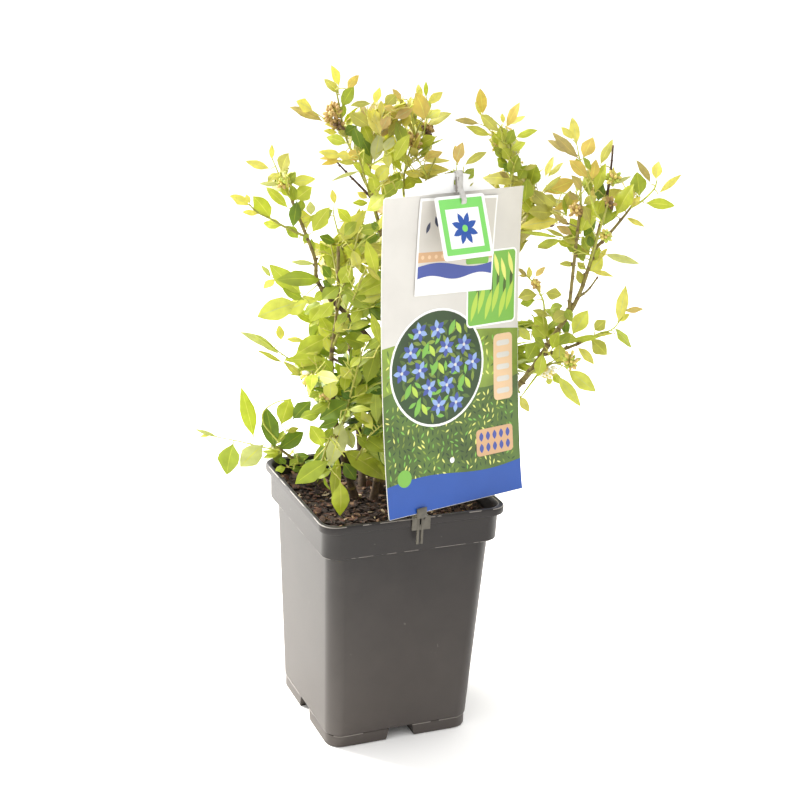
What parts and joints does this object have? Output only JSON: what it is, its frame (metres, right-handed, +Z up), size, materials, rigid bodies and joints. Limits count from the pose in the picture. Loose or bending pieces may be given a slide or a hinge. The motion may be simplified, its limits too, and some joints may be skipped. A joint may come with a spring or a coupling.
{
  "type": "blueberry bush in a pot",
  "caption": "Young highbush blueberry with upright canes and leafy shoots, in a square plastic nursery pot with a clipped picture label, booklet and hang tag.",
  "frame": {"origin": "middle of the pot's flat underside, at the level it stands on", "axes": "+Z up; the pot's four sides face along X and Y, and the label stands over the side that faces -Y"},
  "size_m": [0.3386, 0.2736, 0.5223],
  "materials": {
    "pot": "fine matt moulded surface with scuffs",
    "soil": "loose composted bark chips",
    "clip": "satin translucent plastic",
    "card": "glossy printed card",
    "booklet": "glossy printed paper",
    "tag": "glossy printed card with a green frame",
    "strap": "satin grey plastic",
    "bark": "smooth brown bark with fine furrows",
    "young_bark": "green-brown skin of a young shoot",
    "leaves": "smooth yellow-green leaf",
    "young_leaves": "smooth young leaf, yellow-green flushed with pink"
  },
  "bodies": {
    "root": {"pot": "pot", "soil": "soil", "label_clip": "clip", "label_card": "card", "label_booklet": "booklet", "hang_tag": "tag", "tag_strap": "strap", "cane_left": "bark", "cane_left_centre": "bark", "cane_centre": "bark", "cane_centre_top": "bark", "cane_mid_right": "bark", "cane_right": "bark", "cane_low_left": "bark", "cane_back_left": "bark", "cane_back_right": "bark", "bough_small_centre": "young_bark", "bough_right_fork": "young_bark", "bough_far_right": "young_bark", "bough_right_low": "young_bark", "bough_low_front": "young_bark", "bough_back_left": "young_bark", "spray_top_left": "young_leaves", "spray_top_left_spur": "young_leaves", "spray_top_centre": "young_leaves", "spray_top_centre_right": "young_leaves", "spray_top_middle": "young_leaves", "spray_top_centre_low": "leaves", "spray_small_centre": "young_leaves", "spray_mid_right": "young_leaves", "spray_mid_right_low": "leaves", "spray_right_fork": "young_leaves", "spray_right_top": "young_leaves", "spray_right_top_low": "leaves", "spray_far_right": "young_leaves", "spray_right_inner": "leaves", "spray_right_low_left": "leaves", "spray_right_low": "leaves", "spray_right_low_right": "leaves", "spray_left_upper": "young_leaves", "spray_left_spur": "leaves", "spray_upper_mid": "leaves", "spray_upper_left_mid": "leaves", "spray_left_mid": "leaves", "spray_mid": "leaves", "spray_left_mid_low": "leaves", "spray_left_low": "leaves", "spray_left_low_front": "leaves", "spray_mid_low": "leaves", "spray_mid_low_back": "leaves", "spray_low_left": "leaves", "spray_low_left_up": "leaves", "spray_low_centre": "leaves", "spray_low_centre_right": "leaves", "spray_back_left_high": "leaves", "spray_back_left_low": "leaves", "spray_back_centre": "leaves", "spray_back_right_high": "leaves", "spray_back_right_low": "leaves", "spray_back_low": "leaves"}
  },
  "joints": []
}
